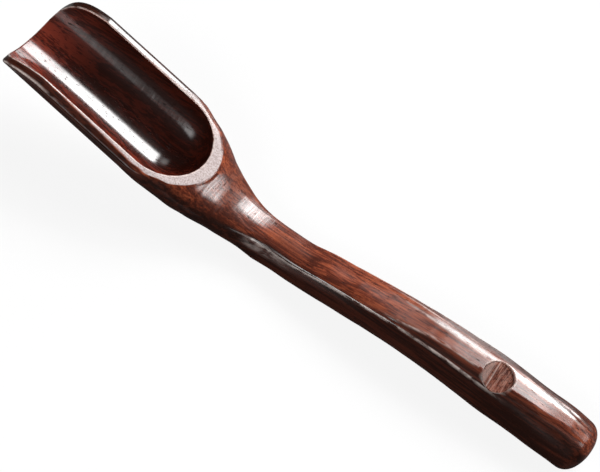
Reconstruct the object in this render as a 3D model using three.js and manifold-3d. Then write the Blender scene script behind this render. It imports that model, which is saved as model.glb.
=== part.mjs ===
// Tea scoop carved from one billet of dark rosewood, with an oval end-grain inlay in its grip.
//
// The scoop is laid out on the carver's bench: X runs from the lip to the end of the grip,
// Y across, Z up, and the rim of the trough lies in the plane z = 0. At the end it is tipped
// about Y until the belly and the heel of the grip stand on the table.
// Millimetres throughout.
import * as THREE from 'three';
import Module from 'manifold-3d';
import { mergeVertices } from 'three/addons/utils/BufferGeometryUtils.js';

// Bowl, measured outside
const BOWL_WIDTH = 31;
const BOWL_DEPTH = 12.4;
const BACK_TAPER = 18.4; // the sides draw in over this length, up to the back of the rim
// Trough, the hollow inside the bowl
const TROUGH_LENGTH = 55.1; // lip to the round back end, on the rim
const WALL = 2.8; // side wall at the rim
const FLOOR = 2.0; // under the hollow
const LIP_FLOOR = 1.3; // the floor thins to this at the lip
const RIM_BACK = 3.3; // width of the flat rim behind the hollow
// Mouth: the side walls sweep down to the lip
const SWEEP_LENGTH = 12;
const SWEEP_DROP = 9;
// Neck: from the back of the rim to the slimmest place
const NECK_LENGTH = 29.6;
const NECK_WIDTH = 9.8;
const NECK_HEIGHT = 9.2;
const NECK_RISE = 0.3; // its top over the rim plane at the slimmest place
const SADDLE_DROP = 2.7; // lowest point of the saddle behind the rim
// Shank: from the slimmest place to the bend
const SHANK_LENGTH = 36;
const SHANK_WIDTH = 11;
const SHANK_HEIGHT = 11.4;
const SHANK_RISE = 13.6; // its top over the rim plane at the bend
const CROWN = 0.5; // the top face bulges by this
// Grip: from the bend to the end
const GRIP_LENGTH = 48.6;
const GRIP_WIDTH = 14.5;
const GRIP_HEIGHT = 11.6;
const GRIP_RISE = 22.7; // its top over the rim plane at the end
const GRIP_SWELL = 0.7; // extra thickness halfway
const NOSE = 4.6; // length of the rounding at the end
// Oval inlay
const KNOT_FROM_END = 29;
const KNOT_LENGTH = 8;
const KNOT_WIDTH = 8.7;
const KNOT_ASIDE = 1.2; // it sits this far towards the near side
const KNOT_DEPTH = 3.2;
const KNOT_SINK = 0.15; // its face lies this far below the wood at the bowl's side
const KNOT_SLOPE = 9; // degrees by which the face dips towards the grip's end
const KNOT_ROLL = 4; // and towards the near side
const KNOT_GLUE = 0.2; // clearance round and under the inlay
// Sanded rests, where the scoop touches the table
const REST_FLAT = 0.22;

const bowlHalf = BOWL_WIDTH / 2;
const troughHalf = bowlHalf - WALL;
const troughDepth = BOWL_DEPTH - FLOOR;
const troughCentre = TROUGH_LENGTH - troughHalf; // centre of the round back end
const rimEnd = TROUGH_LENGTH + RIM_BACK;
const neckAt = rimEnd + NECK_LENGTH;
const bendAt = neckAt + SHANK_LENGTH;
const gripMiddle = bendAt + GRIP_LENGTH * 0.55;
const gripRound = bendAt + GRIP_LENGTH * 0.69; // the grip is fully rounded from here
const heelAt = bendAt + GRIP_LENGTH * 0.81;
const endAt = bendAt + GRIP_LENGTH;
const knotAt = endAt - KNOT_FROM_END;

// A smooth curve through points that never overshoots them: monotone cubic pieces.
function curveThrough(points) {
  const n = points.length;
  const slope = [];
  for (let i = 0; i < n - 1; i += 1) {
    slope.push((points[i + 1][1] - points[i][1]) / (points[i + 1][0] - points[i][0]));
  }
  const tangent = points.map((_, i) => {
    if (i === 0) return slope[0];
    if (i === n - 1) return slope[n - 2];
    const before = slope[i - 1];
    const after = slope[i];
    return before * after <= 0 ? 0 : (2 * before * after) / (before + after);
  });
  return (x) => {
    if (x <= points[0][0]) return points[0][1];
    if (x >= points[n - 1][0]) return points[n - 1][1];
    let i = 0;
    while (x > points[i + 1][0]) i += 1;
    const h = points[i + 1][0] - points[i][0];
    const t = (x - points[i][0]) / h;
    const u = 1 - t;
    const rise = points[i][1] * (1 + 2 * t) * u * u + points[i + 1][1] * t * t * (3 - 2 * t);
    return rise + h * t * u * (tangent[i] * u - tangent[i + 1] * t);
  };
}

// Closed skin over a row of rings with the same number of points each.
function skin(rings) {
  const count = rings[0].length;
  const position = [];
  const index = [];
  for (const ring of rings) {
    for (const p of ring) position.push(p.x, p.y, p.z);
  }
  for (let r = 0; r < rings.length - 1; r += 1) {
    for (let i = 0; i < count; i += 1) {
      const a = r * count + i;
      const b = r * count + ((i + 1) % count);
      index.push(a, b, a + count, b, b + count, a + count);
    }
  }
  const cap = (first, ring, flip) => {
    const middle = new THREE.Vector3();
    for (const p of ring) middle.addScaledVector(p, 1 / count);
    const hub = position.length / 3;
    position.push(middle.x, middle.y, middle.z);
    for (let i = 0; i < count; i += 1) {
      const a = first + i;
      const b = first + ((i + 1) % count);
      if (flip) index.push(hub, a, b);
      else index.push(hub, b, a);
    }
  };
  cap(0, rings[0], false);
  cap((rings.length - 1) * count, rings[rings.length - 1], true);
  const geometry = new THREE.BufferGeometry();
  geometry.setAttribute('position', new THREE.Float32BufferAttribute(position, 3));
  geometry.setIndex(index);
  return geometry;
}

const wasm = await Module();
wasm.setup();

// The closed solid inside a geometry, for joining and cutting.
function solid(geometry) {
  const bare = geometry.clone();
  bare.deleteAttribute('normal');
  bare.deleteAttribute('uv');
  const merged = mergeVertices(bare, 1e-4);
  return new wasm.Manifold(new wasm.Mesh({
    numProp: 3,
    vertProperties: new Float32Array(merged.attributes.position.array),
    triVerts: new Uint32Array(merged.index.array),
  }));
}

function geometryOf(manifold) {
  const mesh = manifold.getMesh();
  const geometry = new THREE.BufferGeometry();
  geometry.setAttribute('position', new THREE.BufferAttribute(mesh.vertProperties, 3));
  geometry.setIndex(new THREE.BufferAttribute(mesh.triVerts, 1));
  return geometry;
}

function block(x0, x1, halfDepth, z0, z1) {
  const geometry = new THREE.BoxGeometry(x1 - x0, 2 * halfDepth, z1 - z0);
  return geometry.translate((x0 + x1) / 2, 0, (z0 + z1) / 2);
}

// Half width of the carved outside, in plan
const halfWidth = curveThrough([
  [0, bowlHalf],
  [rimEnd - BACK_TAPER, bowlHalf],
  [rimEnd - BACK_TAPER * 0.24, bowlHalf * 0.845],
  [rimEnd + NECK_LENGTH * 0.26, bowlHalf * 0.575],
  [rimEnd + NECK_LENGTH * 0.64, NECK_WIDTH * 0.58],
  [neckAt, NECK_WIDTH / 2],
  [bendAt, SHANK_WIDTH / 2],
  [gripMiddle, GRIP_WIDTH * 0.452],
  [heelAt, GRIP_WIDTH / 2],
  [endAt, GRIP_WIDTH / 2],
]);

// Top line. Over the bowl it runs above the rim plane, which cuts it off.
const OVER_RIM = 2.2;
const topAtGripMiddle = SHANK_RISE + (GRIP_RISE - SHANK_RISE) * 0.68;
const topLine = curveThrough([
  [0, OVER_RIM],
  [rimEnd - BACK_TAPER * 0.38, OVER_RIM],
  [rimEnd - BACK_TAPER * 0.22, OVER_RIM * 0.68],
  [rimEnd, 0],
  [rimEnd + NECK_LENGTH * 0.07, -0.35 * SADDLE_DROP],
  [rimEnd + NECK_LENGTH * 0.46, -SADDLE_DROP],
  [rimEnd + NECK_LENGTH * 0.66, -0.85 * SADDLE_DROP],
  [neckAt, NECK_RISE],
  [neckAt + SHANK_LENGTH * 0.28, NECK_RISE + (SHANK_RISE - NECK_RISE) * 0.31],
  [bendAt, SHANK_RISE],
  [gripMiddle, topAtGripMiddle],
  [heelAt, GRIP_RISE - 0.5],
  [endAt, GRIP_RISE],
]);

// Keel line underneath. The heel runs level with the table for a few millimetres.
const keelLine = curveThrough([
  [0, -BOWL_DEPTH],
  [rimEnd + NECK_LENGTH * 0.27, 0.2 - BOWL_DEPTH],
  [rimEnd + NECK_LENGTH * 0.5, 0.5 - BOWL_DEPTH],
  [neckAt, NECK_RISE - NECK_HEIGHT],
  [bendAt, SHANK_RISE - SHANK_HEIGHT],
  [gripMiddle, topAtGripMiddle - (SHANK_HEIGHT + GRIP_HEIGHT) / 2 - GRIP_SWELL],
  [heelAt, GRIP_RISE - GRIP_HEIGHT - 0.7],
  [endAt, GRIP_RISE - GRIP_HEIGHT + 1.4],
]);

// Corners of the cross-section: the upper ones are soft at the back of the bowl, crisp
// along the shank and soft again on the grip.
const upperRise = curveThrough([
  [rimEnd - BACK_TAPER, OVER_RIM],
  [rimEnd - BACK_TAPER * 0.22, 5],
  [rimEnd + NECK_LENGTH * 0.27, 4.2],
  [rimEnd + NECK_LENGTH * 0.73, 1.3],
  [neckAt + SHANK_LENGTH * 0.22, 0.6],
  [bendAt + GRIP_LENGTH * 0.32, 0.8],
  [gripRound, 4.6],
  [endAt, 5],
]);
const upperReach = curveThrough([
  [rimEnd + NECK_LENGTH * 0.27, 1],
  [rimEnd + NECK_LENGTH * 0.73, 0.36],
  [neckAt + SHANK_LENGTH * 0.22, 0.14],
  [bendAt + GRIP_LENGTH * 0.32, 0.16],
  [gripRound, 0.72],
  [endAt, 0.8],
]);
const lowerShare = curveThrough([
  [rimEnd + NECK_LENGTH * 0.27, 1],
  [rimEnd + NECK_LENGTH * 0.73, 0.62],
  [neckAt + SHANK_LENGTH * 0.22, 0.42],
  [bendAt + GRIP_LENGTH * 0.4, 0.45],
  [gripRound, 0.75],
  [endAt, 0.8],
]);
const crown = curveThrough([
  [rimEnd + NECK_LENGTH * 0.27, 0],
  [neckAt, CROWN],
  [gripMiddle, CROWN],
  [gripRound, CROWN * 0.4],
]);

const LOWER_STEPS = 9; // points on a lower corner
const UPPER_STEPS = 5; // points on an upper corner

// Half of a cross-section, from the keel up to the middle of the top.
function halfSection(x, scale) {
  const half = halfWidth(x) * scale;
  const top = topLine(x);
  const keel = keelLine(x);
  const middle = (top + keel) / 2;
  const rise = upperRise(x);
  const reach = upperReach(x) * half;
  const share = lowerShare(x);
  const low = (top - rise - keel) * share;
  const tuck = Math.min(share + 0.14, 1) * half;
  const points = [];
  const put = (y, z) => points.push([y, middle + (z - middle) * scale]);
  for (let i = 0; i <= LOWER_STEPS; i += 1) {
    const a = (i / LOWER_STEPS) * (Math.PI / 2);
    put(half - tuck + tuck * Math.sin(a), keel + low - low * Math.cos(a));
  }
  for (let i = 0; i <= UPPER_STEPS; i += 1) {
    const a = (i / UPPER_STEPS) * (Math.PI / 2);
    put(half - reach + reach * Math.cos(a), top - rise + rise * Math.sin(a));
  }
  const flat = half - reach;
  for (const t of [0.66, 0.33, 0]) {
    put(flat * t, top + crown(x) * (1 - t * t));
  }
  return points;
}

function ring(x, scale) {
  const side = halfSection(x, scale);
  const right = side.map(([y, z]) => new THREE.Vector3(x, y, z));
  const left = side.slice(1, -1).map(([y, z]) => new THREE.Vector3(x, -y, z));
  return right.concat(left.reverse());
}

function stationsOf(from, to, count) {
  return Array.from({ length: count }, (_, i) => from + ((to - from) * i) / count);
}

function outside() {
  const noseStart = endAt - NOSE;
  const taperStart = rimEnd - BACK_TAPER;
  const rimCurve = rimEnd - BACK_TAPER * 0.44;
  const saddle = rimEnd + NECK_LENGTH * 0.14;
  const stations = [
    ...stationsOf(0, taperStart, 2),
    ...stationsOf(taperStart, rimCurve, 4),
    ...stationsOf(rimCurve, saddle, 8),
    ...stationsOf(saddle, neckAt, 8),
    ...stationsOf(neckAt, bendAt, 7),
    ...stationsOf(bendAt, noseStart, 9),
  ];
  const rings = stations.map((x) => ring(x, 1));
  const noseSteps = 6;
  for (let i = 0; i <= noseSteps; i += 1) {
    const u = Math.sin((i / noseSteps) * 1.5);
    rings.push(ring(noseStart + NOSE * u, (1 - u ** 2.3) ** (1 / 2.3)));
  }
  return skin(rings);
}

// The hollow: a half-oval channel that ends in a round nose behind.
function trough() {
  const depth = curveThrough([
    [0, BOWL_DEPTH - LIP_FLOOR],
    [TROUGH_LENGTH * 0.5, troughDepth],
  ]);
  const steps = 18;
  const above = 6;
  const section = (x, share) => {
    const points = [];
    for (let i = 0; i <= steps; i += 1) {
      const a = (i / steps) * Math.PI;
      const y = Math.cos(a) * troughHalf * share;
      points.push(new THREE.Vector3(x, y, -Math.sin(a) * depth(x) * share));
    }
    points.push(new THREE.Vector3(x, -troughHalf * share, above));
    points.push(new THREE.Vector3(x, troughHalf * share, above));
    return points.reverse();
  };
  const rings = [-5, 0, TROUGH_LENGTH * 0.25, TROUGH_LENGTH * 0.5].map((x) => section(x, 1));
  const noseSteps = 11;
  for (let i = 0; i <= noseSteps; i += 1) {
    const a = (i / noseSteps) * (Math.PI / 2) * 0.985;
    rings.push(section(troughCentre + troughHalf * Math.sin(a), Math.cos(a)));
  }
  return skin(rings);
}

// Everything above the swept side walls at the mouth.
function mouthSweep() {
  const shape = new THREE.Shape();
  shape.moveTo(-6, -SWEEP_DROP);
  shape.lineTo(0, -SWEEP_DROP);
  shape.quadraticCurveTo(SWEEP_LENGTH * 0.05, -SWEEP_DROP * 0.22, SWEEP_LENGTH, 0);
  shape.lineTo(SWEEP_LENGTH, 8);
  shape.lineTo(-6, 8);
  const wide = BOWL_WIDTH + 4;
  const geometry = new THREE.ExtrudeGeometry(shape, {
    depth: wide,
    bevelEnabled: false,
    curveSegments: 10,
  });
  return geometry.rotateX(Math.PI / 2).translate(0, wide / 2, 0);
}

// Frame that sits on the grip's top at the inlay and leans with it.
function knotFrame() {
  const step = KNOT_LENGTH / 2;
  const rise = topLine(knotAt + step) - topLine(knotAt - step);
  const lean = Math.atan2(rise, 2 * step);
  const top = topLine(knotAt) + crown(knotAt);
  return new THREE.Matrix4()
    .makeTranslation(knotAt, -KNOT_ASIDE, top)
    .multiply(new THREE.Matrix4().makeRotationY(-lean));
}

function oval(grow, z0, z1) {
  const geometry = new THREE.CylinderGeometry(1, 1, z1 - z0, 40);
  return geometry
    .rotateX(Math.PI / 2)
    .scale(KNOT_LENGTH / 2 + grow, KNOT_WIDTH / 2 + grow, 1)
    .translate(0, 0, (z0 + z1) / 2);
}

// The inlay, with its face pared down to a slope.
function inlay() {
  const blank = solid(oval(-KNOT_GLUE, KNOT_GLUE - KNOT_DEPTH, 3));
  const paring = block(-KNOT_LENGTH * 2, KNOT_LENGTH * 2, KNOT_WIDTH, 0, 6);
  paring.rotateX(THREE.MathUtils.degToRad(KNOT_ROLL));
  paring.rotateY(THREE.MathUtils.degToRad(KNOT_SLOPE));
  paring.translate(-KNOT_LENGTH / 2, 0, -KNOT_SINK);
  return blank.subtract(solid(paring));
}

// The line under the belly and the heel: the long edge of the keel's lower hull.
function tableLine() {
  const hull = [];
  const steps = 400;
  for (let i = 0; i <= steps; i += 1) {
    const x = ((endAt - NOSE) * i) / steps;
    const p = new THREE.Vector2(x, keelLine(x));
    while (hull.length > 1) {
      const a = hull[hull.length - 2];
      const b = hull[hull.length - 1];
      const turn = (b.x - a.x) * (p.y - a.y) - (b.y - a.y) * (p.x - a.x);
      if (turn > 0) break;
      hull.pop();
    }
    hull.push(p);
  }
  const reach = (i) => (i > 0 && hull[i].x > neckAt ? hull[i].x - hull[i - 1].x : 0);
  let heel = 0;
  for (let i = 1; i < hull.length; i += 1) {
    if (reach(i) > reach(heel)) heel = i;
  }
  return [hull[heel - 1], hull[heel]];
}

// Tips the scoop from the bench onto the table, sunk by the depth that is sanded off.
function tablePose() {
  const [belly, heel] = tableLine();
  const tilt = Math.atan2(heel.y - belly.y, heel.x - belly.x);
  const turn = new THREE.Matrix4().makeRotationY(tilt);
  const foot = new THREE.Vector3(belly.x, 0, belly.y).applyMatrix4(turn);
  const lift = new THREE.Matrix4().makeTranslation(0, 0, -foot.z - REST_FLAT);
  return lift.multiply(turn);
}

function carve(pose) {
  const pocket = oval(0, -KNOT_DEPTH, 4).applyMatrix4(knotFrame());
  const bench = solid(outside())
    .subtract(solid(block(-1, rimEnd + 1.2, BOWL_WIDTH, 0, 8)))
    .subtract(solid(trough()))
    .subtract(solid(mouthSweep()))
    .subtract(solid(pocket));
  const tipped = solid(geometryOf(bench).applyMatrix4(pose));
  return tipped.subtract(solid(block(-20, endAt + 20, BOWL_WIDTH, -5, 0)));
}

function woodOf(colour, roughness) {
  return new THREE.MeshStandardMaterial({ color: colour, roughness, metalness: 0 });
}

function build() {
  const pose = tablePose();
  const bodyGeometry = geometryOf(carve(pose));
  const plugGeometry = geometryOf(inlay()).applyMatrix4(knotFrame()).applyMatrix4(pose);
  bodyGeometry.computeBoundingBox();
  const box = bodyGeometry.boundingBox;
  const middle = (box.min.x + box.max.x) / 2;

  const body = new THREE.Mesh(bodyGeometry, woodOf(0x3a1710, 0.32));
  body.name = 'scoop_body';
  body.position.x = -middle;
  const knot = new THREE.Mesh(plugGeometry, woodOf(0x5a3a30, 0.75));
  knot.name = 'knot_plug';
  knot.position.x = -middle;

  const group = new THREE.Group();
  group.name = 'tea_scoop';
  group.add(body, knot);
  return group;
}

export default build();
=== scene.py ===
# %% [markdown]
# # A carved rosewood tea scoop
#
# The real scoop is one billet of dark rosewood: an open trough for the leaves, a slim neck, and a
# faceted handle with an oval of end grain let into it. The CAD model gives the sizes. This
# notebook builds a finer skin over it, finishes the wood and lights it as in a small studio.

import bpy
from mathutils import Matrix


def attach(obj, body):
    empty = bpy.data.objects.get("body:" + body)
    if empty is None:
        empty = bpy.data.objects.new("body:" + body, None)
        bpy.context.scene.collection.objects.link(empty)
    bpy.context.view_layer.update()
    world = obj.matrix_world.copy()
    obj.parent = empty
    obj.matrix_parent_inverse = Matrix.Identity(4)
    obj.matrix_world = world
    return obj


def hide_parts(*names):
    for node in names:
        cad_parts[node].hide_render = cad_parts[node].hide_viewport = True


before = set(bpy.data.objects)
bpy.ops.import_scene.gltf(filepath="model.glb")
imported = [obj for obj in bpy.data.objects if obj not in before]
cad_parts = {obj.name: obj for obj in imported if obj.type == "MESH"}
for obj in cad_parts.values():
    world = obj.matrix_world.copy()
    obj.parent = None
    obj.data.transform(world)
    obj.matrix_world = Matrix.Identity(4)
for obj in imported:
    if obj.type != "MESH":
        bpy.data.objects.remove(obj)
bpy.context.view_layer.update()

# %% [markdown]
# ## The carver's bench
#
# A scoop is easiest to describe with its rim lying level, as it would be clamped on the bench: X
# from the lip to the end of the grip, Y across, Z up, in millimetres. On the table it tips back
# onto its belly and heel. Every shape and light below is given on the bench, and two small
# functions turn it into the frame's metres.

# %% From the bench to the table
import math

import bmesh
import bpy
import numpy as np
from mathutils import Matrix, Vector

TILT = math.radians(14.273)
BENCH_MIDDLE = 89.231  # bench X over the middle of the row
RIM_LIFT = 8.367  # the rim plane lies this far along its own normal from the origin
ALONG = np.array([math.cos(TILT), 0.0, -math.sin(TILT)])
ACROSS = np.array([0.0, 1.0, 0.0])
ABOVE = np.array([math.sin(TILT), 0.0, math.cos(TILT)])


def turn(direction):
    """A bench direction in the frame."""
    d = np.asarray(direction, float)
    return d[..., 0:1] * ALONG + d[..., 1:2] * ACROSS + d[..., 2:3] * ABOVE


def table(point):
    """A bench point in millimetres, in the frame's metres."""
    return turn(np.asarray(point, float) + [-BENCH_MIDDLE, 0.0, RIM_LIFT]) / 1000.0


print("the lip's middle stands at", table([0.0, 0.0, -12.0]).round(4))


# %% Small helpers
def unit(vectors):
    """The same directions, each one long."""
    return vectors / np.linalg.norm(vectors, axis=-1, keepdims=True)


def xyz(x, y, z):
    """Points from their coordinates, which may be rows or single numbers."""
    return np.stack(np.broadcast_arrays(x, y, z), -1)


def join(*parts):
    """Parts of a row, or rows of a grid, one after the other."""
    return np.concatenate(parts)


def steps(count, start=0.0, end=1.0):
    """The places reached by even steps from start to end."""
    return np.linspace(start, end, count + 1)[1:]


def new_object(name, data):
    made = bpy.data.objects.new(name, data)
    bpy.context.scene.collection.objects.link(made)
    return made

# %% [markdown]
# ## The camera
#
# The photograph was taken from in front and well above, with the camera rolled so that the scoop
# runs from the upper left to the lower right. A long lens keeps the perspective as flat as it is
# there. The rotation is built from three axes: right, up and back.

# %% Camera
CAMERA_AT = np.array([87.895, -282.797, 394.446])
AZIMUTH, ELEVATION, ROLL = (math.radians(a) for a in (0.57, 54.01, 41.69))
FOCAL_PIXELS, IMAGE_WIDTH, SENSOR = 1939.33, 600, 36.0

back = np.array([
    math.sin(AZIMUTH) * math.cos(ELEVATION),
    -math.cos(AZIMUTH) * math.cos(ELEVATION),
    math.sin(ELEVATION),
])
level = unit(np.cross([0.0, 0.0, 1.0], back))
rise = np.cross(back, level)
image_right = math.cos(ROLL) * level + math.sin(ROLL) * rise
image_up = -math.sin(ROLL) * level + math.cos(ROLL) * rise

camera_data = bpy.data.cameras.new("camera")
camera_data.sensor_width = SENSOR
camera_data.sensor_fit = "HORIZONTAL"
camera_data.lens = SENSOR * FOCAL_PIXELS / IMAGE_WIDTH
camera_data.clip_start, camera_data.clip_end = 0.01, 20.0
camera = new_object("camera", camera_data)
axes = np.stack([turn(image_right), turn(image_up), turn(back)], axis=1)
camera.matrix_world = Matrix.Translation(table(CAMERA_AT)) @ Matrix(axes.tolist()).to_4x4()
bpy.context.scene.camera = camera
bpy.context.scene.view_settings.view_transform = "Standard"
print("lens %.1f mm" % camera_data.lens)

# %% [markdown]
# ## Floor and backdrop
#
# The object is shown on white. Seen directly, the floor glows a little under white and the lamps
# add the rest, so the scoop's soft shadow shows where their light is missing. In reflections and
# to the light that bounces about it is darker, which keeps the dark wood dark. A small class lets
# a node's output be used like a number, so a material can be written as a few sums.


# %% A node's output as a number
class Value:
    """A node's output that adds, subtracts and multiplies like a number."""

    def __init__(self, socket):
        self.socket = socket
        self.tree = socket.id_data

    def maths(self, operation, first, second=0.0):
        made = node(self.tree, "ShaderNodeMath", {0: first, 1: second}, operation=operation)
        return Value(made.outputs[0])

    def __add__(self, other):
        return self.maths("ADD", self, other)

    def __sub__(self, other):
        return self.maths("SUBTRACT", self, other)

    def __rsub__(self, other):
        return self.maths("SUBTRACT", other, self)

    def __mul__(self, other):
        return self.maths("MULTIPLY", self, other)

    __radd__, __rmul__ = __add__, __mul__

    def clamped(self):
        self.socket.node.use_clamp = True
        return self


# %% Small helpers for node trees
def connect(value, socket):
    """Links a node's output to an input, or sets the input to a plain value."""
    if isinstance(value, Value):
        value.tree.links.new(value.socket, socket)
    else:
        socket.default_value = value


def node(tree, kind, inputs=None, **settings):
    """Adds a node; inputs maps a socket's name or number to what goes into it."""
    made = tree.nodes.new(kind)
    for key, value in settings.items():
        setattr(made, key, value)
    for key, value in (inputs or {}).items():
        connect(value, made.inputs[key])
    return made


def outputs_of(made):
    return {output.name: Value(output) for output in made.outputs}


def ranged(value, low, high, to_low=0.0, to_high=1.0):
    """The value eased from one range into another."""
    return Value(node(value.tree, "ShaderNodeMapRange", {
        "Value": value, "From Min": low, "From Max": high, "To Min": to_low, "To Max": to_high,
    }, interpolation_type="SMOOTHSTEP").outputs[0])


def fresh_material(name):
    material = bpy.data.materials.new(name)
    material.use_nodes = True
    material.node_tree.nodes.clear()
    return material, material.node_tree


def surface(tree, shader):
    node(tree, "ShaderNodeOutputMaterial", {"Surface": Value(shader.outputs[0])})


# %% Floor
REACH = 3.0  # metres from the middle of the floor to its edges
SEEN, MIRRORED, BOUNCED = 0.08, 0.15, 0.25  # how pale it is to each kind of ray
GLOW_SEEN, GLOW_MIRRORED = 0.86, 0.05

floor_mesh = bpy.data.meshes.new("floor")
corners = [(-REACH, -REACH, 0), (REACH, -REACH, 0), (REACH, REACH, 0), (-REACH, REACH, 0)]
floor_mesh.from_pydata(corners, [], [(0, 1, 2, 3)])
floor = new_object("floor", floor_mesh)

floor_material, tree = fresh_material("white_floor")
ray = outputs_of(node(tree, "ShaderNodeLightPath"))
direct = ray["Is Camera Ray"] + ray["Is Transmission Ray"]
mirrored = ray["Is Glossy Ray"]
shade = BOUNCED + (SEEN - BOUNCED) * direct + (MIRRORED - BOUNCED) * mirrored
glow = GLOW_SEEN * direct + GLOW_MIRRORED * mirrored
lit = node(tree, "ShaderNodeBsdfDiffuse", {"Color": shade})
glowing = node(tree, "ShaderNodeEmission", {"Color": (1, 1, 1, 1), "Strength": glow})
both = {0: Value(lit.outputs[0]), 1: Value(glowing.outputs[0])}
surface(tree, node(tree, "ShaderNodeAddShader", both))
floor_mesh.materials.append(floor_material)
print("floor %.0f m wide" % (2 * REACH))

# %% [markdown]
# ## Light
#
# Polished dark wood is drawn by what it reflects. The key panel high behind the scoop gives the
# long streak in the hollow, the bright saddle and the strip along the grip. Its dim wing towards
# the lip lies on the sloping handle. A window low behind it widens the streak, one towards the
# grip's end lights the patch behind the rim, and one in front draws the streak on the far wall
# and the edge under the ridge. Each is an area light placed by its direction from the scoop.

# %% A panel of light
LIGHT_DISTANCE = 1.5  # metres
SCOOP_MIDDLE = Vector(table([80.0, 0.0, 0.0]))


def panel(name, towards_lip, height, half_across, half_tall, radiance, soft):
    """A rectangle of light; the angles are degrees as seen from the scoop.

    height counts over the top from the front horizon, soft is the share of each half over which
    the light fades out."""
    a, h = math.radians(towards_lip), math.radians(height)
    z = Vector(turn([-math.sin(a), -math.cos(a) * math.cos(h), math.cos(a) * math.sin(h)]))
    x = (Vector(ALONG) - z * Vector(ALONG).dot(z)).normalized()
    data = bpy.data.lights.new(name, "AREA")
    data.shape = "RECTANGLE"
    data.size = 2 * LIGHT_DISTANCE * math.tan(math.radians(half_across))
    data.size_y = 2 * LIGHT_DISTANCE * math.tan(math.radians(half_tall))
    data.energy = radiance * math.pi * data.size * data.size_y
    data.use_nodes = True
    tree = data.node_tree
    spot = outputs_of(node(tree, "ShaderNodeNewGeometry"))["Parametric"]
    sides = outputs_of(node(tree, "ShaderNodeSeparateXYZ", {0: spot}))
    fades = []
    for axis in ("X", "Y"):
        offset = sides[axis] - 0.5
        out = offset.maths("ABSOLUTE", offset)
        fades.append(ranged(out, 0.5 - 0.5 * soft, 0.5, 1.0, 0.0))
    connect(fades[0] * fades[1], tree.nodes["Emission"].inputs["Strength"])
    lamp = new_object(name, data)
    spin = Matrix((x, z.cross(x), z)).transposed().to_4x4()
    lamp.matrix_world = Matrix.Translation(SCOOP_MIDDLE + z * LIGHT_DISTANCE) @ spin
    lamp.visible_camera = False
    print(name, "gives %.1f W" % data.energy)


# %% The five lights and the world
WORLD_LIGHT = 0.03
for row in (
    ("key", 4.7, 135.5, 15, 16.5, 21.0, 0.48),
    ("key_wing", 27, 133, 9, 12, 2.2, 0.9),
    ("far_window", 5, 166, 14, 16, 8.0, 0.65),
    ("side_window", -25, 122, 15, 20, 12.5, 0.6),
    ("front_window", 17, 32, 34, 14, 9.0, 0.5),
):
    panel(*row)

world = bpy.data.worlds.new("world")
bpy.context.scene.world = world
world.use_nodes = True
background = world.node_tree.nodes["Background"]
background.inputs["Color"].default_value = (1, 1, 1, 1)
background.inputs["Strength"].default_value = WORLD_LIGHT

# %% [markdown]
# ## The lines of the scoop
#
# A boatbuilder draws a hull from a few long curves: width in plan, top line and keel line. The
# same works here, with curves for how round the corners are. Each curve passes through a few
# measured points and never overshoots them, so the sides stay fair.


# %% Curves through points
def curve_through(*points):
    """A fair curve through (x, value) points, level past its ends."""
    xs, ys = np.array(points, float).T
    slope = np.diff(ys) / np.diff(xs)
    tangent = join(slope[:1], np.zeros(len(xs) - 2), slope[-1:])
    before, after = slope[:-1], slope[1:]
    same = before * after > 0
    tangent[1:-1][same] = (2 * before * after)[same] / (before + after)[same]

    def value(x):
        x = np.clip(x, xs[0], xs[-1])
        i = np.clip(np.searchsorted(xs, x, side="right") - 1, 0, len(xs) - 2)
        h = xs[i + 1] - xs[i]
        t = (x - xs[i]) / h
        u = 1 - t
        fair = ys[i] * (1 + 2 * t) * u * u + ys[i + 1] * t * t * (3 - 2 * t)
        return fair + h * t * u * (tangent[i] * u - tangent[i + 1] * t)

    return value


# %% Sizes on the bench
BOWL_HALF = 15.5
HOLLOW_HALF, HOLLOW_DEPTH, LIP_DEPTH = 12.7, 10.4, 11.1
HOLLOW_CENTRE = 42.4  # centre of the hollow's round back end
SWEEP_LENGTH, SWEEP_DROP = 12.0, 9.0  # the walls sweep down to the lip
RIM_END, NECK_AT, BEND_AT, END_AT = 58.4, 88.0, 124.0, 172.6
TAPER_AT, GRIP_MIDDLE, GRIP_ROUND, HEEL_AT = 40.0, 150.73, 157.5, 163.4
NOSE = 4.6  # length of the rounded end

half_width = curve_through(
    (0, BOWL_HALF), (TAPER_AT, BOWL_HALF), (53.98, 13.1), (66.1, 8.91), (77.34, 5.68),
    (NECK_AT, 4.9), (BEND_AT, 5.5), (GRIP_MIDDLE, 6.55), (HEEL_AT, 7.25), (END_AT, 7.25),
)
top_line = curve_through(
    (0, 2.2), (51.41, 2.2), (54.35, 1.5), (RIM_END, 0), (60.47, -0.945), (65, -1.85),
    (69, -2.3), (71.5, -2.44), (73.5, -2.4), (76.5, -2.13), (79, -1.72), (83, -0.9),
    (NECK_AT, 0.3), (98.08, 4.42), (BEND_AT, 13.6), (GRIP_MIDDLE, 19.79),
    (158, 21.2), (165.4, 22.44), (END_AT, 22.7),
)
keel_line = curve_through(
    (0, -12.4), (66.39, -12.2), (73.2, -11.9), (NECK_AT, -8.9), (BEND_AT, 2.2),
    (GRIP_MIDDLE, 7.59), (HEEL_AT, 10.4), (END_AT, 12.5),
)
upper_rise = curve_through(
    (TAPER_AT, 2.2), (54.35, 5), (66.39, 4.2), (80, 2.6), (88, 1.15), (98, 0.5), (139.55, 0.8),
    (GRIP_ROUND, 4.6), (END_AT, 5),
)
upper_reach = curve_through(
    (66.39, 1), (80, 0.36), (95.92, 0.14), (139.55, 0.16), (GRIP_ROUND, 0.5), (166, 0.66),
    (END_AT, 0.8),
)
near_round = curve_through(
    (56, 0), (60, -0.45), (73, -0.45), (78, 0.4), (80, 0.9), (88, 0.93), (98, 0.6), (110, 0.2),
    (130, 0.1), (146, 0.4), (156, 0.25), (165, 0),
)
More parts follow.
